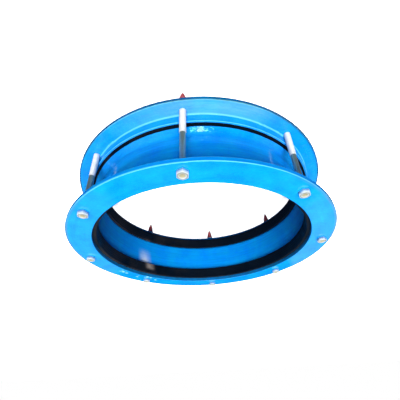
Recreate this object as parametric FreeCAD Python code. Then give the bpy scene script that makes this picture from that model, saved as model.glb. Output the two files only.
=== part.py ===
"""Flexible pipe coupling for plain-ended pipes, bolted up and standing on its capped bolt ends.

A short sleeve with flared ends bridges the two pipe ends. A wedge gasket sits in each flare,
a lipped follower ring closes over each gasket, and long tie bolts draw the two rings together.
Millimetres. Z runs along the pipe axis, and z = 0 is the surface that the bolt caps stand on.
"""
import FreeCAD
import Part
import math
import os

Vector = FreeCAD.Vector

# Radial sizes, from the pipe outwards
pipe_diameter = 635.0          # outside of the pipe that the coupling is made for
gasket_clearance = 4.5         # pipe to gasket bore, before the gasket is squeezed
sleeve_clearance = 10.5        # pipe to sleeve bore
ring_clearance = 14.5          # pipe to ring bore, which sets how far a pipe may tilt
sleeve_wall = 9.0
flare_rise = 12.5              # how far each sleeve end opens outwards
lip_gap = 6.0                  # sleeve end to the inside of the ring's lip
lip_wall = 5.5
lip_bolt_gap = 2.0             # outside of the ring's lip to the thread
ring_margin = 29.0             # bolt circle to the ring's rim

# Axial sizes
sleeve_length = 122.0
flare_depth = 13.0             # length of the flared seat at each sleeve end
nose_setback = 2.0             # gasket nose to the start of the flare
mouth_gap = 2.8                # sleeve end to the lip's mouth
lip_length = 25.0
plate_thickness = 12.0

# Bolts, nuts and washers
bolt_count = 8
thread_diameter = 16.0
shank_diameter = 14.7          # rolled thread on a reduced shank
thread_length = 118.0
head_across_flats = 24.0
head_height = 10.0
nut_height = 14.8
hexagon_chamfer = 30.0         # degrees, on the corners of heads and nuts
hexagon_flat = 22.8            # diameter of the flat that the chamfer leaves
spanner_turns = (3.0, 28.0, 20.0, 35.0, 12.0, 8.0, 50.0, 50.0)  # degrees, where each hexagon stopped
head_dish_diameter = 16.8      # shallow dish that forging leaves in a head
head_dish_depth = 0.8
bolt_end_chamfer = 1.6
thread_run_out = 1.3           # length over which the thread runs down into the shank
nut_countersink = 1.0
nut_clearance = 0.05           # thread to nut, radial
washer_diameter = 30.0
washer_thickness = 3.0
washer_edge_chamfer = 0.5
washer_clearance = 0.5         # thread to washer hole, radial
hole_clearance = 1.0           # thread to ring hole, radial
bolt_projection = 12.6         # bolt end beyond its nut

# Caps on the bolt ends
cap_length = 40.0
cap_gap = 0.5                  # nut to cap
cap_clearance = 0.3            # bolt end to cap
cap_collar_height = 4.0
cap_collar_radius = 11.7
cap_skirt_radius = 10.7        # outside of the cap just below its collar
cap_waist_radius = 8.2         # outside of the cap half-way down its taper
cap_tip_radius = 2.8
cap_foot_radius = 1.3          # small flat that the cap stands on
cap_edge_round = 0.3

# Edges
soft_clearance = 0.3           # rubber to metal
rim_round = 2.0
lip_root_fillet = 4.0
lip_mouth_round = 1.8
hole_chamfer = 0.8
flare_outer_fillet = 16.0
flare_inner_fillet = 10.0
sleeve_end_round = 2.0
gasket_round = 1.5
gasket_shoulder = 1.5          # rubber held back inside the lip's mouth
gasket_step = 1.0              # straight edge of the heel below that shoulder
round_limit = 1 / 3            # the most of a wall that an edge round may take
cut_allowance = 1.0            # how far a cutting shape runs past what it cuts
match_tolerance = 0.01         # how near an edge must be to the size it is looked up by

# Radii worked out from the sizes above
pipe_radius = pipe_diameter / 2
gasket_bore_radius = pipe_radius + gasket_clearance
sleeve_bore_radius = pipe_radius + sleeve_clearance
ring_bore_radius = pipe_radius + ring_clearance
sleeve_outer_radius = sleeve_bore_radius + sleeve_wall
flare_outer_radius = sleeve_outer_radius + flare_rise
lip_inner_radius = flare_outer_radius + lip_gap
lip_outer_radius = lip_inner_radius + lip_wall
thread_radius = thread_diameter / 2
bolt_circle_radius = lip_outer_radius + lip_bolt_gap + thread_radius
ring_outer_radius = bolt_circle_radius + ring_margin
ring_hole_radius = thread_radius + hole_clearance

# Distances from the middle of the sleeve
sleeve_end = sleeve_length / 2
flare_start = sleeve_end - flare_depth
gasket_nose = flare_start + nose_setback
lip_mouth = sleeve_end + mouth_gap
plate_inner = lip_mouth + lip_length
plate_outer = plate_inner + plate_thickness

# Heights, from the surface that the caps stand on
nut_bottom = cap_length + cap_gap
washer_bottom = nut_bottom + nut_height
lower_face = washer_bottom + washer_thickness
middle = lower_face + plate_outer
upper_face = middle + plate_outer
bolt_end = nut_bottom - bolt_projection


def revolve(outline):
    """Turn a closed outline of (radius, height) points round the pipe axis."""
    points = [Vector(radius, 0, height) for radius, height in outline]
    face = Part.Face(Part.makePolygon(points + points[:1]))
    return face.revolve(Vector(0, 0, 0), Vector(0, 0, 1), 360)


def circles(shape, radius, height):
    """The circular edges of a shape that have this radius and height."""
    found = []
    for edge in shape.Edges:
        curve = edge.Curve
        if isinstance(curve, Part.Circle):
            same_radius = abs(curve.Radius - radius) < match_tolerance
            same_height = abs(curve.Center.z - height) < match_tolerance
            if same_radius and same_height:
                found.append(edge)
    return found


def cylinder(radius, bottom, top):
    return Part.makeCylinder(radius, top - bottom, Vector(0, 0, bottom))


def hexagon_prism(across_flats, bottom, top):
    """A hexagonal prism about the pipe axis, with two corners along X."""
    corner_radius = across_flats / math.sqrt(3)
    corners = []
    for side in range(6):
        angle = math.radians(60 * side)
        corners.append(Vector(corner_radius * math.cos(angle), corner_radius * math.sin(angle), bottom))
    face = Part.Face(Part.makePolygon(corners + corners[:1]))
    return face.extrude(Vector(0, 0, top - bottom))


def turned_ends(across_flats, bottom, top, chamfer_bottom, chamfer_top):
    """The turned blank that cuts a hexagon's corners back at its ends."""
    flat_radius = hexagon_flat / 2
    corner_radius = across_flats / math.sqrt(3) + cut_allowance
    drop = (corner_radius - flat_radius) * math.tan(math.radians(hexagon_chamfer))
    low = drop if chamfer_bottom else 0
    high = drop if chamfer_top else 0
    outline = [(0, bottom)]
    if chamfer_bottom:
        outline.append((flat_radius, bottom))
    outline.append((corner_radius, bottom + low))
    outline.append((corner_radius, top - high))
    if chamfer_top:
        outline.append((flat_radius, top))
    outline.append((0, top))
    return revolve(outline)


def bolt_angle(number):
    return 360.0 * number / bolt_count


def at_bolt(shape, number):
    """Move a shape made on the pipe axis to one place on the bolt circle.

    Each place turns it by its own angle, because no two bolts stop alike.
    """
    spanner_turn = spanner_turns[number % len(spanner_turns)]
    placed = shape.copy()
    placed.rotate(Vector(0, 0, 0), Vector(0, 0, 1), spanner_turn)
    placed.translate(Vector(bolt_circle_radius, 0, 0))
    placed.rotate(Vector(0, 0, 0), Vector(0, 0, 1), bolt_angle(number))
    return placed


def upper_half(shape):
    """Lift a shape that was made about z = 0 up to the upper end of the coupling."""
    lifted = shape.copy()
    lifted.translate(Vector(0, 0, middle))
    return lifted


def lower_half(shape):
    """The same shape turned over, for the lower end."""
    turned = shape.copy()
    turned.rotate(Vector(0, 0, 0), Vector(1, 0, 0), 180)
    turned.translate(Vector(0, 0, middle))
    return turned


def follower_ring():
    """A flat plate ring with a short lip that closes over the gasket. Distances from the middle."""
    ring = revolve([
        (ring_bore_radius, plate_inner),
        (ring_bore_radius, plate_outer),
        (ring_outer_radius, plate_outer),
        (ring_outer_radius, plate_inner),
        (lip_outer_radius, plate_inner),
        (lip_outer_radius, lip_mouth),
        (lip_inner_radius, lip_mouth),
        (lip_inner_radius, plate_inner),
    ])
    rounding = min(rim_round, round_limit * plate_thickness)
    rim = circles(ring, ring_outer_radius, plate_outer) + circles(ring, ring_outer_radius, plate_inner)
    bore = circles(ring, ring_bore_radius, plate_outer)
    ring = ring.makeFillet(rounding, rim + bore)
    root_fillet = min(lip_root_fillet, round_limit * lip_length)
    ring = ring.makeFillet(root_fillet, circles(ring, lip_outer_radius, plate_inner))
    ring = ring.makeFillet(min(lip_mouth_round, round_limit * lip_wall),
                           circles(ring, lip_outer_radius, lip_mouth)
                           + circles(ring, lip_inner_radius, lip_mouth))
    hole = revolve([
        (0, plate_inner - root_fillet),
        (ring_hole_radius, plate_inner - root_fillet),
        (ring_hole_radius, plate_outer - hole_chamfer),
        (ring_hole_radius + 2 * hole_chamfer, plate_outer + hole_chamfer),
        (0, plate_outer + hole_chamfer),
    ])
    for number in range(bolt_count):
        ring = ring.cut(at_bolt(hole, number))
    return ring


def middle_sleeve():
    """A rolled cylinder whose two ends flare outwards to seat the gaskets."""
    mouth_bore = sleeve_bore_radius + flare_rise
    root = flare_start - sleeve_wall * math.tan(math.atan2(flare_rise, flare_depth) / 2)
    upper = [
        (sleeve_bore_radius, flare_start),
        (mouth_bore, sleeve_end),
        (flare_outer_radius, sleeve_end),
        (flare_outer_radius, root + flare_depth),
        (sleeve_outer_radius, root),
    ]
    lower = [(radius, -height) for radius, height in reversed(upper)]
    sleeve = revolve(upper + lower)
    outer_fillet = min(flare_outer_fillet, round_limit * sleeve_end)
    inner_fillet = min(flare_inner_fillet, round_limit * sleeve_end)
    rounding = min(sleeve_end_round, round_limit * sleeve_wall)
    for side in (1, -1):
        sleeve = sleeve.makeFillet(outer_fillet, circles(sleeve, sleeve_outer_radius, side * root))
        sleeve = sleeve.makeFillet(inner_fillet, circles(sleeve, sleeve_bore_radius, side * flare_start))
        sleeve = sleeve.makeFillet(rounding, circles(sleeve, flare_outer_radius, side * sleeve_end))
        sleeve = sleeve.makeFillet(rounding / 2, circles(sleeve, mouth_bore, side * sleeve_end))
    sleeve.translate(Vector(0, 0, middle))
    return sleeve


def wedge_gasket():
    """A rubber ring: a square heel inside the lip, and a wedge that points into the flare."""
    slope = flare_rise / flare_depth
    clear = soft_clearance * math.hypot(flare_rise, flare_depth) / flare_depth
    heel_front = lip_mouth + gasket_shoulder

    def wedge_radius(height):
        return sleeve_bore_radius - clear + (height - flare_start) * slope

    outline = [
        (gasket_bore_radius, gasket_nose),
        (gasket_bore_radius, plate_inner - soft_clearance),
        (lip_inner_radius - soft_clearance, plate_inner - soft_clearance),
        (lip_inner_radius - soft_clearance, heel_front + gasket_step),
        (wedge_radius(heel_front), heel_front),
        (wedge_radius(gasket_nose), gasket_nose),
    ]
    gasket = revolve(outline)
    nose = circles(gasket, gasket_bore_radius, gasket_nose)
    heel = circles(gasket, gasket_bore_radius, plate_inner - soft_clearance)
    return gasket.makeFillet(gasket_round, nose + heel)


def tie_bolt():
    """A long hexagon bolt that hangs from its dished head, with a reduced shank and a rolled thread."""
    head_top = upper_face + head_height
    head = hexagon_prism(head_across_flats, upper_face, head_top)
    head = head.common(turned_ends(head_across_flats, upper_face, head_top, False, True))
    dish_radius = head_dish_diameter / 2
    dish = revolve([
        (0, head_top - head_dish_depth),
        (dish_radius - head_dish_depth, head_top - head_dish_depth),
        (dish_radius + head_dish_depth, head_top + head_dish_depth),
        (0, head_top + head_dish_depth),
    ])
    head = head.cut(dish)
    thread_top = bolt_end + thread_length
    body = revolve([
        (0, bolt_end),
        (thread_radius - bolt_end_chamfer, bolt_end),
        (thread_radius, bolt_end + bolt_end_chamfer),
        (thread_radius, thread_top),
        (shank_diameter / 2, thread_top + thread_run_out),
        (shank_diameter / 2, upper_face + head_height / 2),
        (0, upper_face + head_height / 2),
    ])
    return head.fuse(body).removeSplitter()


def hexagon_nut():
    """A hexagon nut with both faces turned and its bore countersunk."""
    bore_radius = thread_radius + nut_clearance
    mouth_radius = bore_radius + nut_countersink + cut_allowance
    blank = hexagon_prism(head_across_flats, nut_bottom, washer_bottom)
    blank = blank.common(turned_ends(head_across_flats, nut_bottom, washer_bottom, True, True))
    bore = revolve([
        (0, nut_bottom - cut_allowance),
        (mouth_radius, nut_bottom - cut_allowance),
        (bore_radius, nut_bottom + nut_countersink),
        (bore_radius, washer_bottom - nut_countersink),
        (mouth_radius, washer_bottom + cut_allowance),
        (0, washer_bottom + cut_allowance),
    ])
    return blank.cut(bore)


def flat_washer():
    ring = cylinder(washer_diameter / 2, washer_bottom, lower_face)
    hole_radius = thread_radius + washer_clearance
    washer = ring.cut(cylinder(hole_radius, washer_bottom - cut_allowance, lower_face + cut_allowance))
    edge = circles(washer, washer_diameter / 2, washer_bottom)
    return washer.makeChamfer(min(washer_edge_chamfer, round_limit * washer_thickness), edge)


def end_cap():
    """A tapered soft cap over the bolt end, closed at its tip, with a collar at its open end."""
    skirt_top = cap_length - cap_collar_height
    bore_radius = thread_radius + cap_clearance
    bore_end = bolt_end - cap_clearance
    ball_height = math.sqrt(cap_tip_radius ** 2 - cap_foot_radius ** 2)
    half_sweep = math.asin(ball_height / cap_tip_radius) / 2
    taper_end = Vector(cap_tip_radius, 0, ball_height)
    taper_middle = Vector(cap_waist_radius, 0, (skirt_top + ball_height) / 2)
    tip_middle = Vector(cap_tip_radius * math.cos(half_sweep), 0,
                        ball_height - cap_tip_radius * math.sin(half_sweep))
    corners = [
        Vector(cap_foot_radius, 0, 0),
        Vector(0, 0, 0),
        Vector(0, 0, bore_end),
        Vector(bore_radius, 0, bore_end),
        Vector(bore_radius, 0, cap_length),
        Vector(cap_collar_radius, 0, cap_length),
        Vector(cap_collar_radius, 0, skirt_top),
        Vector(cap_skirt_radius, 0, skirt_top),
    ]
    edges = [Part.LineSegment(start, end).toShape() for start, end in zip(corners, corners[1:])]
    taper = Part.Arc(corners[-1], taper_middle, taper_end)
    tip = Part.Arc(taper_end, tip_middle, corners[0])
    edges += [taper.toShape(), tip.toShape()]
    face = Part.Face(Part.Wire(edges))
    cap = face.revolve(Vector(0, 0, 0), Vector(0, 0, 1), 360)
    collar = circles(cap, cap_collar_radius, cap_length) + circles(cap, cap_collar_radius, skirt_top)
    step = cap_collar_radius - cap_skirt_radius
    return cap.makeFillet(min(cap_edge_round, round_limit * step, round_limit * cap_collar_height), collar)


def build():
    """Every piece by its node's name."""
    ring = follower_ring()
    gasket = wedge_gasket()
    pieces = {
        "middle_sleeve": middle_sleeve(),
        "upper_ring": upper_half(ring),
        "lower_ring": lower_half(ring),
        "upper_gasket": upper_half(gasket),
        "lower_gasket": lower_half(gasket),
    }
    fasteners = {
        "tie_bolt": tie_bolt(),
        "nut": hexagon_nut(),
        "washer": flat_washer(),
        "end_cap": end_cap(),
    }
    for number in range(bolt_count):
        for name, shape in fasteners.items():
            pieces[f"{name}_{number + 1}"] = at_bolt(shape, number)
    return pieces


os.makedirs("parts", exist_ok=True)
for node, shape in build().items():
    solid = shape.Solids[0] if len(shape.Solids) == 1 else shape
    solid.exportStep(f"parts/{node}.step")
    print(node, len(shape.Solids), "solid", round(shape.Volume / 1000, 1), "cm3", "valid", shape.isValid())
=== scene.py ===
# %% [markdown]
# # A flexible pipe coupling: finishes, rubber and threads
#
# The construction comes ready made. Two lipped follower rings, a flared sleeve, and eight long bolts
# with their nuts, washers and red caps are already at their real size and place. This lesson gives
# each of them its finish, models the parts that were left plain, and lights the whole like a product
# photograph. The rings and the sleeve keep their meshes, because their shape is right.
#
# Every length is in metres. Z runs along the pipe axis, and the caps stand on z = 0.

# %% Load the construction
import math

import bmesh
import bpy
from mathutils import Matrix
from mathutils import Quaternion
from mathutils import Vector
from mathutils import noise


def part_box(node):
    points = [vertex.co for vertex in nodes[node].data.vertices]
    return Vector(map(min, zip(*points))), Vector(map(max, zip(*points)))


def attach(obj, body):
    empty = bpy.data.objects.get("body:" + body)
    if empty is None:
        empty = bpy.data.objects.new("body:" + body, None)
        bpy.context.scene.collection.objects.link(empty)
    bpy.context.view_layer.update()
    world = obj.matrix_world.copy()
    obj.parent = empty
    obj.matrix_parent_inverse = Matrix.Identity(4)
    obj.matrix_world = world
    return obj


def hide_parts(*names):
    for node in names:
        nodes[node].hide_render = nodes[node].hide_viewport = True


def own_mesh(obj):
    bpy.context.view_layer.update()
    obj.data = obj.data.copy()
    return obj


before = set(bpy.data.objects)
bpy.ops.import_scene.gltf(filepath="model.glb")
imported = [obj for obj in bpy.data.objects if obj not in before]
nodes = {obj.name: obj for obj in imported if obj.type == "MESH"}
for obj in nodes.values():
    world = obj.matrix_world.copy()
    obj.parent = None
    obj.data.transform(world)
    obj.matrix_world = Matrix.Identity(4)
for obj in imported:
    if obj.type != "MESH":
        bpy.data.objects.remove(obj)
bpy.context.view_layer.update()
scene = bpy.context.scene
mm = 0.001
bolt_numbers = range(1, 9)

# %% [markdown]
# ## Sizes that the other cells need
#
# New pieces have to sit exactly on the old ones, so their sizes are read from the nodes' boxes. They
# could be typed in, but then they would go wrong when the construction changes. A box gives heights and
# outer radii. Only what is hidden inside a node, such as a bore, is typed in, in the cell that needs it.

# %% Sizes read from the nodes
upper_ring_low, upper_ring_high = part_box("upper_ring")
lower_ring_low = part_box("lower_ring")[0]
upper_gasket_low, upper_gasket_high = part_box("upper_gasket")
sleeve_low, sleeve_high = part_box("middle_sleeve")
bolt_low, bolt_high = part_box("tie_bolt_1")
washer_low, washer_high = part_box("washer_1")
ring_radius = upper_ring_high.x
top_face = upper_ring_high.z
lip_mouth = upper_ring_low.z
middle = (sleeve_low.z + sleeve_high.z) / 2
bolt_circle = (washer_low.x + washer_high.x) / 2
print("ring radius", round(ring_radius, 4), "bolt circle", round(bolt_circle, 4), "middle", round(middle, 4))

# %% [markdown]
# ## Helpers for shader nodes
#
# A finish is a small network of shader nodes. Typing each node out in full hides the idea, so a few
# helpers shorten it. A socket that is given another node's output is linked, and one that is given a
# number or a colour just takes it. With that, a step of arithmetic reads like a line of a sum.

# %% Shader node helpers
def set_sockets(tree, sockets, values):
    """Link each named socket to another node's output, or give it a plain value."""
    for name, value in values.items():
        if isinstance(value, bpy.types.NodeSocket):
            tree.links.new(value, sockets[name])
        else:
            sockets[name].default_value = value


def add_node(tree, kind, inputs=None, **settings):
    """A node of this kind, with its settings, and its inputs set or linked by name or number."""
    node = tree.nodes.new("ShaderNode" + kind)
    for name, value in settings.items():
        setattr(node, name, value)
    set_sockets(tree, node.inputs, inputs or {})
    return node


def calculate(tree, operation, *values, clamp=False):
    """One step of arithmetic on numbers."""
    return add_node(tree, "Math", dict(enumerate(values)), operation=operation, use_clamp=clamp).outputs[0]


def calculate_vector(tree, operation, *vectors):
    """One step of arithmetic on vectors. It gives the node's outputs."""
    return add_node(tree, "VectorMath", dict(enumerate(vectors)), operation=operation).outputs


def scale_vector(tree, vector, value):
    """A vector made longer or shorter by a value, or a colour made lighter or darker."""
    return add_node(tree, "VectorMath", {0: vector, "Scale": value}, operation="SCALE").outputs[0]


def split(tree, vector):
    """The X, Y and Z of a vector."""
    return add_node(tree, "SeparateXYZ", {"Vector": vector}).outputs


def multiply(tree, *masks):
    """Where all of these masks are, held between 0 and 1."""
    product = masks[0]
    for mask in masks[1:]:
        product = calculate(tree, "MULTIPLY", product, mask, clamp=True)
    return product


def ramp(tree, value, start, end, low=0.0, high=1.0, kind="LINEAR"):
    """Low until the value has come to its start, high from its end on, and a slope between them."""
    inputs = {"Value": value, "From Min": start, "From Max": end, "To Min": low, "To Max": high}
    return add_node(tree, "MapRange", inputs, interpolation_type=kind).outputs[0]


def noise_at(tree, point, scale, detail, roughness=0.5):
    """A noise between 0 and 1, read at a point."""
    inputs = {"Vector": point, "Scale": scale, "Detail": detail, "Roughness": roughness}
    return add_node(tree, "TexNoise", inputs).outputs["Fac"]


def how_far_up(tree):
    """How far the surface faces up: 1 for a level face, 0 for a wall, -1 for the underside."""
    return split(tree, add_node(tree, "NewGeometry").outputs["Normal"])["Z"]


def object_point(tree):
    """The point being shaded, in the object's own coordinates."""
    return add_node(tree, "TexCoord").outputs["Object"]


print("helpers ready")

# %% [markdown]
# ## Effects that several finishes share
#
# Paint, rubber, zinc and plastic all vary slightly from place to place, all catch dust where they
# face up, and some wear at their edges. Each effect is one group, built once and used with other
# values in each finish. A group puts out only a mask, a value or a normal, and the shader itself
# stays in the material.


# %% Helpers for groups
def start_group(name, inputs, outputs):
    """A node group with named inputs (kind, default) and outputs (kind)."""
    group = bpy.data.node_groups.new(name, "ShaderNodeTree")
    for label, (kind, default) in inputs.items():
        socket = group.interface.new_socket(label, in_out="INPUT", socket_type="NodeSocket" + kind)
        if default is not None:
            socket.default_value = default
    for label, kind in outputs.items():
        group.interface.new_socket(label, in_out="OUTPUT", socket_type="NodeSocket" + kind)
    given = group.nodes.new("NodeGroupInput")
    result = group.nodes.new("NodeGroupOutput")
    return group, given.outputs, result.inputs


def use_group(tree, group, inputs):
    """A group placed in a material with its own values. It gives the group's outputs."""
    node = tree.nodes.new("ShaderNodeGroup")
    node.node_tree = group
    set_sockets(tree, node.inputs, inputs)
    return node.outputs


print("group helpers ready")

# %% [markdown]
# ### Uneven tone
#
# No real coat has the same tone everywhere. One noise alone would look like clouds, so a finer one is
# mixed into it, and the mix is stretched between a lowest and a highest value.


# %% Group: uneven tone
def make_uneven_tone():
    """A slow change of tone over the surface, mixed from a broad noise and a finer one."""
    group, given, result = start_group(
        "uneven_tone",
        {"Vector": ("Vector", None), "Scale": ("Float", 4.0), "Low": ("Float", 0.9), "High": ("Float", 1.1)},
        {"Value": "Float"},
    )
    times_finer = 9.0
    share_finer = 0.35
    broad = noise_at(group, given["Vector"], given["Scale"], detail=3.0)
    finer_scale = calculate(group, "MULTIPLY", given["Scale"], times_finer)
    finer = noise_at(group, given["Vector"], finer_scale, detail=4.0)
    both = add_node(group, "Mix", {0: share_finer, 2: broad, 3: finer}, data_type="FLOAT").outputs[0]
    spread = ramp(group, both, start=0.3, end=0.7, low=given["Low"], high=given["High"])
    group.links.new(spread, result["Value"])
    return group


uneven_tone = make_uneven_tone()


def tone_at(tree, point, scale, low, high):
    """The uneven tone at a point, between low and high."""
    return use_group(tree, uneven_tone, {"Vector": point, "Scale": scale, "Low": low, "High": high})["Value"]


print("made", uneven_tone.name)

# %% [markdown]
# ### Dust
#
# Dust settles on what faces up, in patches that break up into specks from near. Grains could be
# modelled and scattered, but they would cost a great many triangles. A mask costs none.


# %% Group: dust on what faces up
def make_dust():
    """A mask for dust: patchy, with specks, and stronger where the surface faces up."""
    group, given, result = start_group(
        "dust",
        {"Vector": ("Vector", None), "Patch Scale": ("Float", 12.0), "Speck Scale": ("Float", 300.0),
         "Amount": ("Float", 0.2), "On Walls": ("Float", 0.3)},
        {"Mask": "Float"},
    )
    facing = ramp(group, how_far_up(group), start=-0.2, end=0.8, low=given["On Walls"])
    broad = noise_at(group, given["Vector"], given["Patch Scale"], detail=6.0, roughness=0.6)
    patches = ramp(group, broad, start=0.42, end=0.72)
    finer = noise_at(group, given["Vector"], given["Speck Scale"], detail=2.0)
    specks = ramp(group, finer, start=0.5, end=0.75, low=0.35)
    group.links.new(multiply(group, patches, specks, facing, given["Amount"]), result["Mask"])
    return group


dust = make_dust()
print("made", dust.name)

# %% [markdown]
# ### Worn edges
#
# A coat wears off at the edges first. They could be painted by hand on a picture, but the Bevel node
# finds them by itself: near an edge it gives a rounded normal, which leaves the true one only there.


# %% Group: worn edges
def make_edge_wear():
    """A mask along sharp edges, found where a rounded normal leaves the true one, broken up by noise."""
    group, given, result = start_group(
        "edge_wear",
        {"Vector": ("Vector", None), "Reach": ("Float", 0.0015), "Noise Scale": ("Float", 120.0),
         "Amount": ("Float", 0.5)},
        {"Mask": "Float"},
    )
    rounded = add_node(group, "Bevel", {"Radius": given["Reach"]}, samples=4).outputs[0]
    normal = add_node(group, "NewGeometry").outputs["Normal"]
    same = calculate_vector(group, "DOT_PRODUCT", rounded, normal)["Value"]
    edge = ramp(group, same, start=1.0, end=0.8)
    grain = noise_at(group, given["Vector"], given["Noise Scale"], detail=5.0)
    broken = ramp(group, grain, start=0.42, end=0.6)
    group.links.new(multiply(group, edge, broken, given["Amount"]), result["Mask"])
    return group


edge_wear = make_edge_wear()
print("made", edge_wear.name)

# %% [markdown]
# ### Fine relief
#
# Brush marks, and the skin of rubber or plastic, are far too small to model. A bump leaves the mesh as
# it is and only tilts the normal, so that the light breaks up as it would on small waves.


# %% Group: fine relief
def make_relief():
    """Small bumps of one size, such as brush marks in paint or the skin of rubber, as a normal."""
    group, given, result = start_group(
        "relief",
        {"Vector": ("Vector", None), "Scale": ("Float", 200.0), "Detail": ("Float", 2.0),
         "Height": ("Float", 0.0001), "Strength": ("Float", 0.3)},
        {"Normal": "Vector"},
    )
    bumps = noise_at(group, given["Vector"], given["Scale"], given["Detail"])
    inputs = {"Strength": given["Strength"], "Distance": given["Height"], "Height": bumps}
    group.links.new(add_node(group, "Bump", inputs).outputs["Normal"], result["Normal"])
    return group


relief = make_relief()
print("groups:", [group.name for group in bpy.data.node_groups])


# %% Helpers for finishes
def start_material(name):
    """An empty material with one shader, linked to its output."""
    material = bpy.data.materials.new(name)
    material.use_nodes = True
    tree = material.node_tree
    tree.nodes.clear()
    output = tree.nodes.new("ShaderNodeOutputMaterial")
    shader = tree.nodes.new("ShaderNodeBsdfPrincipled")
    tree.links.new(shader.outputs[0], output.inputs["Surface"])
    return material, tree, shader


def set_inputs(tree, shader, **values):
    """Set or link the shader's inputs. An underscore stands for the space in an input's name."""
    set_sockets(tree, shader.inputs, {name.replace("_", " "): value for name, value in values.items()})


def blend_colour(tree, mask, first, second):
    """One colour where the mask is 0 and another where it is 1."""
    return add_node(tree, "Mix", {0: mask, 6: first, 7: second}, data_type="RGBA").outputs[2]


print("finish helpers ready")

# %% [markdown]
# ## Blue paint
#
# The rings and the sleeve are steel under a thick, glossy blue coat. One flat blue would look like
# plastic, so two blues without any red are mixed by noise, and a second noise, drawn out like brush
# strokes, makes the mix lighter and darker. The strokes also leave small waves, which are deepest low
# on the sleeve, where they break up the glint on the flare. Most of the gloss is the paint's own and
# tinted cyan, with a thin clear coat over it.
#
# The strokes run round the pipe axis. The noise is therefore read at a made-up point that hardly
# moves on the way round the axis, and moves fast on the way across the strokes.

# %% Brush strokes
stroke_turn = 0.37
strokes_by_radius = 12.0
strokes_by_height = 26.0


def across_axis(tree, point):
    """The part of a point that leads straight out from the pipe axis."""
    return calculate_vector(tree, "MULTIPLY", point, (1, 1, 0))[0]


def length_of(tree, vector):
    """The length of a vector."""
    return calculate_vector(tree, "LENGTH", vector)["Value"]


def distance_between(tree, value, other):
    """How far a value is from another, either way."""
    return calculate(tree, "ABSOLUTE", calculate(tree, "SUBTRACT", value, other))


def stroke_point(tree, place, across, radius):
    """The point to read a noise at, so that it is drawn out round the pipe axis."""
    outwards = calculate_vector(tree, "NORMALIZE", across)[0]
    by_radius = calculate(tree, "MULTIPLY", radius, strokes_by_radius)
    by_both = calculate(tree, "MULTIPLY_ADD", place["Z"], strokes_by_height, by_radius)
    step = add_node(tree, "CombineXYZ", {"Z": by_both}).outputs[0]
    return calculate_vector(tree, "ADD", scale_vector(tree, outwards, stroke_turn), step)[0]


print("strokes ready")

# %% [markdown]
# ### Marks of use, painted shade and painted highlights
#
# Each mark is a mask of its own, found from where a point lies. A pair of values says where a mask
# starts and where it is full. A mask costs nothing in the mesh, so the rings keep their shape.
#
# The lower ring carries most of the dust, at its front, and a pale wash over its inner face there.

# %% Dust and a pale wash on the lower ring
plate_thickness = 12 * mm
dusty_heights = (lip_mouth + 3 * mm, lip_mouth - 60 * mm)
dusty_front = (-0.20, -0.36)
dust_amounts = (0.02, 0.14)
wash_height = lower_ring_low.z + plate_thickness
wash_reach = 3 * mm
wash_front = (-0.28, -0.36)
wash_right = (-0.27, -0.16)
wash_left = (0.20, -0.08)


def find_settled_dust(tree, place):
    """How much dust lies at a place: most on the lower ring, at the front."""
    low = ramp(tree, place["Z"], *dusty_heights)
    front = ramp(tree, place["Y"], *dusty_front)
    return ramp(tree, multiply(tree, low, front), 0.0, 1.0, *dust_amounts)


def find_pale_wash(tree, place, strokes):
    """A mask for the pale wash, which fades out to both sides."""
    on_face = calculate(tree, "LESS_THAN", distance_between(tree, place["Z"], wash_height), wash_reach)
    front = ramp(tree, place["Y"], *wash_front, kind="SMOOTHSTEP")
    right = ramp(tree, place["X"], *wash_right, kind="SMOOTHSTEP")
    left = ramp(tree, place["X"], *wash_left)
    broken = tone_at(tree, strokes, scale=13.0, low=0.20, high=0.48)
    return multiply(tree, on_face, front, right, left, broken)


print("dust and film ready")

# %% [markdown]
# Rounded edges get a painted highlight: a paler blue, laid on where their faces tilt. A few pale
# specks lie beside the upper ring's bore, in one loose group. They are the middles of a Voronoi
# texture's cells, and chance makes some of them fainter than others.

# %% Painted edge highlights and specks
upright_tilt = (0.10, 0.40)
level_tilt = (0.98, 0.88)
speck_place = Vector((0.272, 0.215, 0.26))
speck_flatness = (1, 1, 4)
speck_area = (105 * mm, 75 * mm)
speck_radius = 348 * mm
speck_band = (15 * mm, 10 * mm)
speck_size = (0.42, 0.22)
speck_chance = (-0.30, 0.40)


def find_edge_highlights(tree, radius):
    """A mask for the painted highlight on the rings' rounded edges and the fillet at the lip's root, whose
    faces tilt.
    """
    tilt = calculate(tree, "ABSOLUTE", how_far_up(tree))
    off_upright = ramp(tree, tilt, *upright_tilt)
    off_level = ramp(tree, tilt, *level_tilt)
    outside = calculate(tree, "GREATER_THAN", radius, sleeve_high.x + 1 * mm)
    return multiply(tree, off_upright, off_level, outside)


def find_specks(tree, point, radius):
    """A mask of small specks in one band and one area of it."""
    cells = add_node(tree, "TexVoronoi", {"Vector": point, "Scale": 58.0}).outputs
    spot = ramp(tree, cells["Distance"], *speck_size)
    chance = add_node(tree, "SeparateColor", {0: cells["Color"]}).outputs[0]
    kept = ramp(tree, chance, *speck_chance)
    away = calculate_vector(tree, "SUBTRACT", point, speck_place)[0]
    flattened = calculate_vector(tree, "MULTIPLY", away, speck_flatness)[0]
    near = ramp(tree, length_of(tree, flattened), *speck_area)
    on_band = ramp(tree, distance_between(tree, radius, speck_radius), *speck_band)
    return multiply(tree, spot, kept, near, on_band)


print("edges and specks ready")
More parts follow.
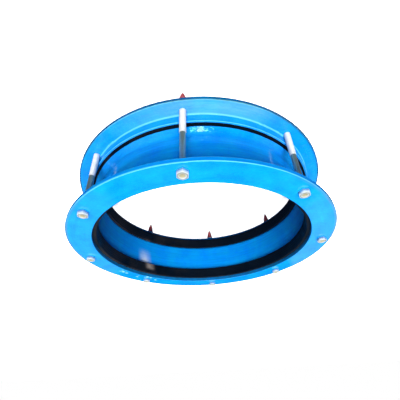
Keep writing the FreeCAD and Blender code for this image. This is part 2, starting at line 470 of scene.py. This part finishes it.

# %% [markdown]
# The upper ring's margin is painted darker, except at the front, as a dark outline. The lower ring's rim
# is painted darker as painted shade, more so at the two sides, and so are both rings' bores.

# %% Dark outline, and painted shade on the rim and bores
ring_bore = 332 * mm
outline_band = (ring_radius - 8 * mm, ring_radius - 3.5 * mm)
outline_depth = 3 * mm
outline_back = (-0.34, -0.22)
shaded_rim = (ring_radius - 1.2 * mm, ring_radius - 0.6 * mm)
shaded_sides = (0.20, 0.36)
shaded_rim_widening = 4 * mm
shaded_bore = (ring_bore + 1.2 * mm, ring_bore + 0.5 * mm)
plate_inner = top_face - plate_thickness - middle


def find_dark_outline(tree, point, place, radius):
    """A mask for the dark outline painted along the margin of the upper ring's top face."""
    margin = ramp(tree, radius, *outline_band)
    high = calculate(tree, "GREATER_THAN", place["Z"], top_face - outline_depth)
    back = ramp(tree, place["Y"], *outline_back)
    broken = tone_at(tree, point, scale=18.0, low=0.5, high=1.0)
    return multiply(tree, margin, high, back, broken)


def find_rim_and_bore_shade(tree, point, place, radius):
    """A mask for the painted shade on the lower ring's rim and in both rings' bores."""
    wider = ramp(tree, calculate(tree, "ABSOLUTE", place["X"]), *shaded_sides, high=shaded_rim_widening)
    outside = ramp(tree, calculate(tree, "ADD", radius, wider), *shaded_rim)
    low = calculate(tree, "LESS_THAN", place["Z"], middle)
    inside = ramp(tree, radius, *shaded_bore)
    off_middle = distance_between(tree, place["Z"], middle)
    in_plate = calculate(tree, "GREATER_THAN", off_middle, plate_inner - 1 * mm)
    either = calculate(tree, "ADD", multiply(tree, outside, low), multiply(tree, inside, in_plate))
    return multiply(tree, either, tone_at(tree, point, scale=16.0, low=0.45, high=0.95))


print("rubbed and dirty places ready")

# %% [markdown]
# A pale streak of painted reflection runs up the sleeve's bore and over the upper gasket. It is a soft
# strip round a line that leans, so the strip is straightened first, by moving each point back by the line's
# lean.

# %% A painted reflection
reflection_place = Vector((0.256, 0.205, 0.205))
reflection_lean = Vector((0.10, -0.12, 0))
reflection_fade = 10 * mm
reflection_reach = 36 * mm
reflection_heights = (middle - 15 * mm, middle + 40 * mm)
reflection_top = sleeve_high.z + 9 * mm


def find_reflection_streak(tree, point, start, reach, heights, top):
    """A mask for the painted reflection: a strip along a line, which grows between two heights and ends at a
    top.
    """
    away = calculate_vector(tree, "SUBTRACT", point, start)[0]
    lean = scale_vector(tree, reflection_lean, split(tree, away)["Z"])
    straight = calculate_vector(tree, "ADD", away, lean)[0]
    distance = length_of(tree, across_axis(tree, straight))
    near = ramp(tree, distance, reach, 0, kind="SMOOTHSTEP")
    height = split(tree, point)["Z"]
    grown = ramp(tree, height, *heights, kind="SMOOTHSTEP")
    below = ramp(tree, height, top, top - reflection_fade)
    broken = tone_at(tree, point, scale=45.0, low=0.5, high=1.25)
    return multiply(tree, near, grown, below, broken)


print("smear ready")

# %% [markdown]
# ### The paint itself
#
# The colours are laid over each other in this order: coat, painted edge highlights, wear, dark outline,
# painted shade on the rim and bores, pale wash, painted reflection, dust and specks.

# %% Blue paint
paint_blue = (0.0004, 0.215, 0.84, 1)
paint_pale = (0.002, 0.335, 0.78, 1)
# painted highlight colour for the rounded edges
painted_edge_highlight = (0.08, 0.48, 0.93, 1)
paint_scuff = (0.16, 0.50, 0.86, 1)
# dark outline colour for the upper ring's margin
dark_outline_colour = (0.06, 0.20, 0.32, 1)
paint_speck = (0.36, 0.76, 0.95, 1)
# painted shade colour for the lower ring's rim and the bores
painted_shade_teal = (0.006, 0.065, 0.13, 1)
pale_wash_colour = (0.22, 0.52, 0.30, 1)
# painted reflection colour for the streak in the sleeve's bore
painted_reflection_grey = (0.58, 0.68, 0.86, 1)
dust_pale = (0.42, 0.70, 0.80, 1)
gloss_tint = (0.25, 0.95, 1.0, 1)
stroke_share = (0.06, 0.06, 0.06)
wavy_heights = (sleeve_low.z + 34 * mm, sleeve_low.z + 20 * mm)
wave_depths = (0.4 * mm, 2.2 * mm)


def find_waves(tree, point, place, strokes):
    """The normal of the brush marks' small waves."""
    wavy_point = calculate_vector(tree, "MULTIPLY_ADD", strokes, stroke_share, point)[0]
    depth = ramp(tree, place["Z"], *wavy_heights, *wave_depths)
    return use_group(tree, relief, {"Vector": wavy_point, "Scale": 75.0, "Detail": 2.0, "Height": depth,
                                    "Strength": 0.8})["Normal"]


def make_blue_paint():
    """The thick blue coat, with its wear, its dirt and its waves."""
    material, tree, shader = start_material("blue_paint")
    point = object_point(tree)
    place = split(tree, point)
    across = across_axis(tree, point)
    radius = length_of(tree, across)
    strokes = stroke_point(tree, place, across, radius)
    scuffs = use_group(tree, edge_wear, {"Vector": point, "Reach": 1.6 * mm, "Noise Scale": 90.0,
                                         "Amount": 0.5})
    lying = use_group(tree, dust, {"Vector": point, "Patch Scale": 6.0, "Speck Scale": 420.0,
                                   "Amount": find_settled_dust(tree, place), "On Walls": 0.05})
    coat = blend_colour(tree, tone_at(tree, point, scale=22.0, low=0.0, high=1.0), paint_blue, paint_pale)
    colour = scale_vector(tree, coat, tone_at(tree, strokes, scale=7.0, low=0.82, high=1.10))
    for mask, over in (
        # painted highlight on the rings' rounded edges
        (find_edge_highlights(tree, radius), painted_edge_highlight),
        (scuffs["Mask"], paint_scuff),
        # dark outline painted along the upper ring's margin
        (find_dark_outline(tree, point, place, radius), dark_outline_colour),
        # painted shade on the lower ring's rim and in the bores
        (find_rim_and_bore_shade(tree, point, place, radius), painted_shade_teal),
        # a pale wash over the lower ring's inner face, at the front
        (find_pale_wash(tree, place, strokes), pale_wash_colour),
        # painted reflection up the sleeve's bore
        (find_reflection_streak(tree, point, reflection_place, reflection_reach, reflection_heights, reflection_top), painted_reflection_grey),
        (lying["Mask"], dust_pale),
        (find_specks(tree, point, radius), paint_speck),
    ):
        colour = blend_colour(tree, mask, colour, over)
    gloss = tone_at(tree, point, scale=30.0, low=0.05, high=0.11)
    waves = find_waves(tree, point, place, strokes)
    set_inputs(tree, shader, Base_Color=colour, Roughness=gloss, Normal=waves)
    set_inputs(tree, shader, IOR=1.75, Specular_Tint=gloss_tint)
    set_inputs(tree, shader, Coat_Weight=0.35, Coat_Roughness=0.06)
    return material


blue_paint = make_blue_paint()
for name in ("upper_ring", "lower_ring", "middle_sleeve"):
    nodes[name].material_slots[0].material = blue_paint
print("painted the rings and the sleeve")

# %% [markdown]
# ## Black rubber, and the two gaskets
#
# The gaskets are moulded from black rubber. One flat black would hide their shape, so the base is only
# nearly black. Old rubber also gets a pale brown bloom. It is laid over the base as a patchy mask, mostly
# on one side, together with the end of the painted reflection from the sleeve's bore.

# %% Black rubber
rubber_black = (0.0015, 0.0042, 0.009)
# painted reflection colour where the streak runs onto the rubber
rubber_reflection_grey = (0.27, 0.225, 0.20, 1)
rubber_bloom = (0.16, 0.125, 0.095, 1)
bloom_side = (0.04, 0.24)
bloom_amounts = (0.03, 0.26)
rubber_reflection_place = reflection_place - Vector((18 * mm, -8 * mm, 0))
rubber_reflection_reach = 27 * mm
rubber_reflection_heights = (sleeve_low.z, middle)
rubber_reflection_top = sleeve_high.z + 16 * mm


def make_black_rubber():
    """Rubber that is nearly black, with its bloom and the end of the painted reflection."""
    material, tree, shader = start_material("black_rubber")
    point = object_point(tree)
    bloomed = ramp(tree, split(tree, point)["X"], *bloom_side, *bloom_amounts)
    bloom = use_group(tree, dust, {"Vector": point, "Patch Scale": 11.0, "Speck Scale": 240.0,
                                   "Amount": bloomed, "On Walls": 0.8})
    toned = scale_vector(tree, rubber_black, tone_at(tree, point, scale=14.0, low=0.7, high=1.35))
    # painted reflection, running on from the sleeve's bore
    streak_mask = find_reflection_streak(tree, point, rubber_reflection_place, rubber_reflection_reach, rubber_reflection_heights,
                       rubber_reflection_top)
    streaked = blend_colour(tree, streak_mask, toned, rubber_reflection_grey)
    dusty = blend_colour(tree, bloom["Mask"], streaked, rubber_bloom)
    rough = tone_at(tree, point, scale=22.0, low=0.38, high=0.62)
    skin = use_group(tree, relief, {"Vector": point, "Scale": 700.0, "Detail": 3.0, "Height": 0.1 * mm,
                                    "Strength": 0.4})
    set_inputs(tree, shader, Base_Color=dusty, Roughness=rough, Normal=skin["Normal"])
    set_inputs(tree, shader, Specular_IOR_Level=0.25)
    return material


black_rubber = make_black_rubber()
print("rubber made")

# %% [markdown]
# Each gasket is a moulded ring with a square heel inside the ring's lip and a wedge that points into
# the sleeve's flare. It could be carved from the plain solid, but a fresh ring is easier: the section
# is drawn once as a few points, its corners are rounded, and a spin takes it round the pipe axis.

# %% Helpers for turned pieces
same_place = 1e-6
sharp_angle = math.radians(38)
corner_steps = 4


def new_piece(name, mesh_build, material, body):
    """Finish a bmesh as an object: normals out, smooth sides, one material, riding on its body."""
    bmesh.ops.remove_doubles(mesh_build, verts=mesh_build.verts, dist=same_place)
    bmesh.ops.recalc_face_normals(mesh_build, faces=mesh_build.faces)
    mesh = bpy.data.meshes.new(name)
    mesh_build.to_mesh(mesh)
    mesh_build.free()
    mesh.materials.append(material)
    mesh.shade_smooth()
    mesh.set_sharp_from_angle(angle=sharp_angle)
    piece = bpy.data.objects.new(name, mesh)
    scene.collection.objects.link(piece)
    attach(piece, body)
    return piece


def section(points, rounds):
    """A closed section in the XZ plane, each corner rounded by its own amount."""
    build = bmesh.new()
    corners = [build.verts.new((radius, 0, height)) for radius, height in points]
    for one, other in zip(corners, corners[1:] + corners[:1]):
        build.edges.new((one, other))
    for corner, amount in zip(corners, rounds):
        bmesh.ops.bevel(build, geom=[corner], offset=amount, offset_type="OFFSET", segments=corner_steps,
                        profile=0.5, affect="VERTICES", material=-1)
    return build


def spin_round(build, steps):
    """Take the section right round the Z axis, and join its end to its start."""
    bmesh.ops.spin(build, geom=build.verts[:] + build.edges[:], cent=(0, 0, 0), axis=(0, 0, 1),
                   angle=2 * math.pi, steps=steps, use_merge=True)
    return build


print("turning helpers ready")

# %% [markdown]
# A gasket's bore has shallow grooves where it will bear on the pipe, and a surface that isn't quite
# true, so the ring is pushed in by up to a fraction of a millimetre.
#
# When the bolts are tightened, each gasket has 4 mm less room. The rubber is squashed by somewhat more
# than that, so that its wedge stays clear of the flare's slope.

# %% The gasket
gasket_bore = 322 * mm
heel_radius = upper_gasket_high.x
heel = upper_gasket_high.z - middle
nose = upper_gasket_low.z - middle
shoulder = lip_mouth + 1.5 * mm - middle
shoulder_step = 1 * mm
sleeve_bore = 328 * mm
flare_slope = 12.5 / 13
flare_start = 48 * mm
rubber_gap = 0.42 * mm
groove_depth = 0.5 * mm
groove_half_width = 1.6 * mm
groove_round = 0.3 * mm
groove_heights = [nose + (heel - nose) * share for share in (0.32, 0.5, 0.68)]
gasket_steps = 300
waver_round = 14
waver_up = 9
waver_depth = 0.35 * mm
waver_reach = 10 * mm


def wedge_radius(height):
    """The slanted side of the wedge, just clear of the sleeve's flare."""
    return sleeve_bore - rubber_gap + (height - flare_start) * flare_slope


def gasket_section():
    """The gasket's outline in the XZ plane, with each corner rounded by its own amount."""
    points = [(gasket_bore, nose)]
    rounds = [1.2 * mm]
    for height in groove_heights:
        points += [(gasket_bore, height - groove_half_width), (gasket_bore + groove_depth, height),
                   (gasket_bore, height + groove_half_width)]
        rounds += [groove_round] * 3
    points += [(gasket_bore, heel), (heel_radius, heel), (heel_radius, shoulder + shoulder_step),
               (wedge_radius(shoulder), shoulder), (wedge_radius(nose), nose)]
    rounds += [1.5 * mm, 0.8 * mm, 0.3 * mm, 0.6 * mm, 0.5 * mm]
    return section(points, rounds)


def make_gasket(name, node, body, side):
    """One gasket, heel up (side 1) or heel down (side -1)."""
    build = spin_round(gasket_section(), gasket_steps)
    for vert in build.verts:
        vert.co.z = middle + side * vert.co.z
        radius = math.hypot(vert.co.x, vert.co.y)
        seed_point = (vert.co.x * waver_round, vert.co.y * waver_round, vert.co.z * waver_up + side)
        waver = noise.noise(Vector(seed_point))
        inward = max(0.0, 1 - (radius - gasket_bore) / waver_reach)
        pushed = 1 - waver_depth * abs(waver) * inward / radius
        vert.co.x *= pushed
        vert.co.y *= pushed
    piece = new_piece(name, build, black_rubber, body)
    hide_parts(node)
    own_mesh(piece)
    return piece


gaskets = [
    make_gasket("rubber_gasket_upper", "upper_gasket", "bolted_top", 1),
    make_gasket("rubber_gasket_lower", "lower_gasket", "lower_follower", -1),
]
print("gaskets:", [len(piece.data.polygons) for piece in gaskets], "faces")

# %% [markdown]
# ## Bright zinc, and bolts with a real thread
#
# The bolts, nuts and washers are zinc plated steel. The rolled thread keeps a pale, chalky plate that
# scatters light. A head is greyer where it was handled, and dirt turns its dish yellow. The shank
# between them is drawn smooth, so it mirrors whatever dark things stand around it, and its sides carry
# a painted sheen: a paler colour where they turn away. One material does all of this, because height
# and facing tell these places apart.

# %% Zinc
thread_length = 118 * mm
thread_top = bolt_low.z + thread_length
shank_low = thread_top + 1 * mm
shank_high = top_face
shank_fade = 0.5 * mm
dish_low = bolt_high.z - 2 * mm
dish_high = bolt_high.z - 0.3 * mm
dish_fade = 0.3 * mm
level_facing = (0.9, 0.98)
glancing_facing = (0.50, 0.85)
chalky_metal = 0.25
drawn_metal = 0.6
chalky_roughness = 0.45
zinc_chalk = (0.88, 0.90, 0.90, 1)
zinc_head = (0.60, 0.65, 0.68, 1)
zinc_handled = (0.27, 0.31, 0.29, 1)
zinc_stained = (0.40, 0.36, 0.21, 1)
zinc_drawn = (0.28, 0.36, 0.31, 1)
# painted sheen colour for the shank's sides
zinc_painted_sheen = (0.50, 0.64, 0.68, 1)
zinc_grime = (0.36, 0.31, 0.23, 1)
zinc_bright = (0.95, 0.95, 0.93, 1)


def make_zinc():
    """Zinc plate: smooth metal with a painted sheen along the shank, chalky above and below, and dirty in a
    head's dish.
    """
    material, tree, shader = start_material("zinc_plate")
    point = object_point(tree)
    height = split(tree, point)["Z"]
    over = ramp(tree, height, shank_low - shank_fade, shank_low)
    under = ramp(tree, height, shank_high + shank_fade, shank_high)
    smooth = multiply(tree, over, under)
    flat = ramp(tree, how_far_up(tree), *level_facing)
    above = calculate(tree, "GREATER_THAN", height, dish_low)
    below = ramp(tree, height, dish_high, dish_high - dish_fade)
    chalk = blend_colour(tree, over, zinc_chalk, zinc_head)
    handled = blend_colour(tree, flat, chalk, zinc_handled)
    stained = blend_colour(tree, multiply(tree, flat, above, below), handled, zinc_stained)
    turned = add_node(tree, "LayerWeight", {"Blend": 0.5}).outputs["Facing"]
    # painted sheen: the shank's sides are paler where they turn away
    shank = blend_colour(tree, ramp(tree, turned, *glancing_facing), zinc_drawn, zinc_painted_sheen)
    plate = blend_colour(tree, smooth, stained, shank)
    grime = use_group(tree, dust, {"Vector": point, "Patch Scale": 110.0, "Speck Scale": 900.0, "Amount": 0.3,
                                   "On Walls": 0.4})
    bright = use_group(tree, edge_wear, {"Vector": point, "Reach": 0.5 * mm, "Noise Scale": 300.0,
                                         "Amount": 0.5})
    toned = scale_vector(tree, plate, tone_at(tree, point, scale=60.0, low=0.88, high=1.06))
    dull = blend_colour(tree, grime["Mask"], toned, zinc_grime)
    edged = blend_colour(tree, bright["Mask"], dull, zinc_bright)
    metal = ramp(tree, smooth, 0.0, 1.0, chalky_metal, drawn_metal)
    fine = tone_at(tree, point, scale=90.0, low=0.30, high=0.42)
    rough = add_node(tree, "Mix", {0: smooth, 2: chalky_roughness, 3: fine}, data_type="FLOAT").outputs[0]
    grain = use_group(tree, relief, {"Vector": point, "Scale": 900.0, "Detail": 2.0, "Height": 0.02 * mm,
                                     "Strength": 0.3})
    set_inputs(tree, shader, Base_Color=edged, Roughness=rough, Metallic=metal, Normal=grain["Normal"])
    return material


zinc_plate = make_zinc()
for number in bolt_numbers:
    for name in (f"nut_{number}", f"washer_{number}"):
        nodes[name].material_slots[0].material = zinc_plate
print("zinc on nuts and washers")

# %% [markdown]
# The plain solid of a bolt has a smooth cylinder where its thread is. A bump could draw a thread on it,
# but its outline would stay straight, so the thread is modelled. It is wound by a spin that also climbs:
# five points, one pitch high, make one turn, and each turn starts where the last one ended.

# %% The thread
thread_radius = 8 * mm
thread_root = 6.85 * mm
shank_radius = 7.35 * mm
thread_pitch = 2 * mm
spare_turns = 2
run_out = 3 * mm
end_chamfer = 1.6 * mm
turn_steps = 24
crest_flat = 0.25 * mm


def wind_thread(build):
    """One pitch of the thread's outline, wound upwards along the bolt's axis."""
    flank = (thread_pitch - 2 * crest_flat) / 2
    outline = [(thread_root, 0), (thread_root, crest_flat), (thread_radius, crest_flat + flank),
               (thread_radius, 2 * crest_flat + flank), (thread_root, thread_pitch)]
    start = bolt_low.z - spare_turns * thread_pitch
    points = [build.verts.new((radius, 0, start + height)) for radius, height in outline]
    edges = [build.edges.new(pair) for pair in zip(points, points[1:])]
    turns = math.ceil(thread_length / thread_pitch) + 2 * spare_turns
    bmesh.ops.spin(build, geom=points + edges, cent=(0, 0, 0), axis=(0, 0, 1), angle=2 * math.pi * turns,
                   dvec=(0, 0, thread_pitch / turn_steps), steps=turns * turn_steps)
    bmesh.ops.remove_doubles(build, verts=build.verts, dist=same_place)


def cut_level(build, height, side):
    """Cut away what lies above (side 1) or below (side -1) a height, and give the rim of the cut."""
    whole = build.verts[:] + build.edges[:] + build.faces[:]
    bmesh.ops.bisect_plane(build, geom=whole, dist=1e-7, plane_co=(0, 0, height), plane_no=(0, 0, side),
                           clear_outer=True)
    return [edge for edge in build.edges if edge.is_boundary
            and all(abs(vert.co.z - height) < same_place for vert in edge.verts)]


def shape_thread_ends(build):
    """Taper the bolt's end, and run the thread out towards the shank at its top."""
    for vert in build.verts:
        radius = math.hypot(vert.co.x, vert.co.y)
        rise = vert.co.z - bolt_low.z
        wanted = min(radius, thread_radius, thread_radius - end_chamfer + rise)
        fade = (vert.co.z - (thread_top - run_out)) / run_out
        if fade > 0:
            wanted += (shank_radius - wanted) * min(1.0, fade)
        vert.co.x *= wanted / radius
        vert.co.y *= wanted / radius


def make_threaded_end():
    """The wound thread as a mesh, closed at the bolt's end and open where the shank will join."""
    build = bmesh.new()
    wind_thread(build)
    foot = cut_level(build, bolt_low.z, -1)
    bmesh.ops.edgeloop_fill(build, edges=foot)
    cut_level(build, thread_top, 1)
    shape_thread_ends(build)
    mesh = bpy.data.meshes.new("threaded_end")
    build.to_mesh(mesh)
    build.free()
    return mesh


threaded_end = make_threaded_end()
print("thread:", len(threaded_end.polygons), "faces")

# %% [markdown]
# A bolt's head and shank are right already, so they are kept, cut from a copy of the solid's mesh. The
# cut lies a little above the thread, because the shank starts with a short slope there. The wound thread
# is put in below the cut, and the two rims are bridged.

# %% The bolts
shank_start = 1.3 * mm


def bolt_place(number):
    """The turn about the pipe axis that takes bolt 1's place to this bolt's."""
    return Matrix.Rotation(2 * math.pi * (number - 1) / len(bolt_numbers), 4, "Z")


def make_bolt(number):
    """Head and shank from a copy of the solid's mesh, bridged to the wound thread below them."""
    node = f"tie_bolt_{number}"
    build = bmesh.new()
    build.from_mesh(nodes[node].data)
    bmesh.ops.remove_doubles(build, verts=build.verts, dist=same_place)
    upper_rim = cut_level(build, thread_top + shank_start, -1)
    old = set(build.verts)
    build.from_mesh(threaded_end)
    fresh = [vert for vert in build.verts if vert not in old]
    place = bolt_place(number) @ Matrix.Translation((bolt_circle, 0, 0))
    bmesh.ops.transform(build, matrix=place, verts=fresh)
    lower_rim = [edge for edge in build.edges if edge.is_boundary and edge not in upper_rim]
    bmesh.ops.bridge_loops(build, edges=upper_rim + lower_rim)
    piece = new_piece(f"threaded_bolt_{number}", build, zinc_plate, "bolted_top")
    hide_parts(node)
    return piece


bolts = [make_bolt(number) for number in bolt_numbers]
print("bolts:", len(bolts), "with", len(bolts[0].data.polygons), "faces each")

# %% [markdown]
# ## Red caps
#
# The caps that protect the bolt ends are moulded in soft plastic, in a deep glossy red. Their shape is
# right already, so they only need a finish: a base colour that goes deeper in patches, a little
# dust, and a waxy skin.

# %% Red plastic
cap_red = (0.80, 0.13, 0.13)
cap_dusty = (0.66, 0.48, 0.45, 1)


def make_red_plastic():
    """Soft red plastic: deeper in patches, a little dusty, and waxy."""
    material, tree, shader = start_material("red_plastic")
    point = object_point(tree)
    haze = use_group(tree, dust, {"Vector": point, "Patch Scale": 60.0, "Speck Scale": 700.0, "Amount": 0.4,
                                  "On Walls": 0.8})
    toned = scale_vector(tree, cap_red, tone_at(tree, point, scale=45.0, low=0.75, high=1.1))
    colour = blend_colour(tree, haze["Mask"], toned, cap_dusty)
    rough = tone_at(tree, point, scale=90.0, low=0.2, high=0.36)
    skin = use_group(tree, relief, {"Vector": point, "Scale": 350.0, "Detail": 2.0, "Height": 0.06 * mm,
                                    "Strength": 0.3})
    set_inputs(tree, shader, Base_Color=colour, Roughness=rough, Normal=skin["Normal"])
    return material


red_plastic = make_red_plastic()
for number in bolt_numbers:
    nodes[f"end_cap_{number}"].material_slots[0].material = red_plastic
print("caps coloured")

# %% [markdown]
# ## Floor, light and camera
#
# The photograph has a plain white ground, but the object was shot in a dark hall: its upright faces
# and its smooth shanks mirror something dark. So the floor and the surroundings are white where the
# camera sees them, and a dark blue where the object does, which a Light Path node tells apart.

# %% Floor and surroundings
floor_size = 60.0
floor_seen = (0.95, 0.95, 0.95, 1)
floor_bounced = (0.008, 0.025, 0.07, 1)
glow_seen = (0.70, 0.70, 0.70, 1)
glow_bounced = (0, 0, 0, 1)
world_seen = (1.0, 1.0, 1.0, 1)
world_bounced = (0.010, 0.035, 0.07, 1)


def seen_and_bounced(tree, seen, bounced):
    """One colour for the camera and another for the light that the object receives."""
    path = add_node(tree, "LightPath").outputs["Is Camera Ray"]
    return blend_colour(tree, path, bounced, seen)


floor_build = bmesh.new()
bmesh.ops.create_grid(floor_build, x_segments=1, y_segments=1, size=floor_size / 2)
floor_mesh = bpy.data.meshes.new("floor")
floor_build.to_mesh(floor_mesh)
floor_build.free()
floor = bpy.data.objects.new("floor", floor_mesh)
scene.collection.objects.link(floor)
floor_white, floor_tree, floor_shader = start_material("floor_white")
floor_colour = seen_and_bounced(floor_tree, floor_seen, floor_bounced)
floor_glow = seen_and_bounced(floor_tree, glow_seen, glow_bounced)
set_inputs(floor_tree, floor_shader, Base_Color=floor_colour, Roughness=0.9, Specular_IOR_Level=0.0)
set_inputs(floor_tree, floor_shader, Emission_Color=floor_glow, Emission_Strength=1.0)
floor_mesh.materials.append(floor_white)

world = bpy.data.worlds.new("studio")
scene.world = world
world.use_nodes = True
surroundings = seen_and_bounced(world.node_tree, world_seen, world_bounced)
world.node_tree.links.new(surroundings, world.node_tree.nodes["Background"].inputs["Color"])
print("floor", floor_size, "m, world", world.name)

# %% [markdown]
# Soft, wide suns do the lighting, most of it from high in front, with a weak one from behind so that
# the coupling reads from every side. They are left out of the reflections, or their discs would show in
# the glossy coat. Reflections have lights of their own: one sun that runs along the rounded edges, a
# small panel for the glint on the flare, and two dim panels that tint the wide rings.


# %% Light
def add_light(name, kind, direction, strength, spread, mirrored=True, scattered=True):
    """A light that shines from this direction. A sun's spread is an angle, a panel's is its width."""
    light = bpy.data.lights.new(name, kind)
    light.energy = strength
    holder = bpy.data.objects.new(name, light)
    scene.collection.objects.link(holder)
    holder.rotation_euler = direction.normalized().to_track_quat("Z", "Y").to_euler()
    holder.visible_glossy = mirrored
    holder.visible_diffuse = scattered
    holder.visible_camera = False
    if kind == "SUN":
        light.angle = math.radians(spread)
    else:
        light.shape = "DISK"
        light.size = spread
        holder.location = Vector((0, 0, middle)) + direction
    return holder


def direction_at(azimuth, elevation, distance=1.0):
    """A direction from the object's middle, in degrees. Azimuth -90 is the camera's side."""
    turn = math.radians(azimuth)
    tilt = math.radians(elevation)
    level = math.cos(tilt)
    return Vector((math.cos(turn) * level, math.sin(turn) * level, math.sin(tilt))) * distance


lights = [
    add_light("front_softbox", "SUN", direction_at(-101, 58), 4.5, 36, mirrored=False),
    add_light("front_fill", "SUN", direction_at(-90, 28), 1.5, 50, mirrored=False),
    add_light("overhead_softbox", "SUN", direction_at(-90, 84), 1.1, 90, mirrored=False),
    add_light("back_fill", "SUN", direction_at(90, 42), 1.8, 60, mirrored=False),
    add_light("edge_light", "SUN", direction_at(90, 80), 0.9, 40, scattered=False),
    add_light("glint_panel", "AREA", direction_at(-97.5, 33.5, 2.26), 4.0, 0.26, scattered=False),
    add_light("left_panel", "AREA", direction_at(50, 25, 4.0), 1.5, 1.8),
    add_light("right_panel", "AREA", direction_at(122, 20, 4.0), 3.0, 1.9),
]
scene.view_settings.view_transform = "Standard"
print("lights:", [light.name for light in lights])

# %% [markdown]
# The photograph shows the coupling the other way up. Turning the coupling over would take it off the
# caps that it stands on, so the camera is rolled by about half a turn instead.

# %% Camera
camera_place = Vector((-0.0715, -0.7671, 0.6101))
camera_heading = 85.606
camera_pitch = -31.646
camera_roll = 177.071
camera_data = bpy.data.cameras.new("camera")
camera_data.lens = 23.575
camera_data.sensor_width = 36
camera_data.shift_x = -0.0129
camera_data.shift_y = 0.0378
camera_data.clip_start = 0.01
camera = bpy.data.objects.new("camera", camera_data)
scene.collection.objects.link(camera)
forward = direction_at(camera_heading, camera_pitch)
unrolled = forward.to_track_quat("-Z", "Y")
camera.rotation_mode = "QUATERNION"
camera.rotation_quaternion = Quaternion(forward, -math.radians(camera_roll)) @ unrolled
camera.location = camera_place
scene.camera = camera
print("camera", [round(x, 3) for x in camera_place], "looks", [round(x, 3) for x in forward])
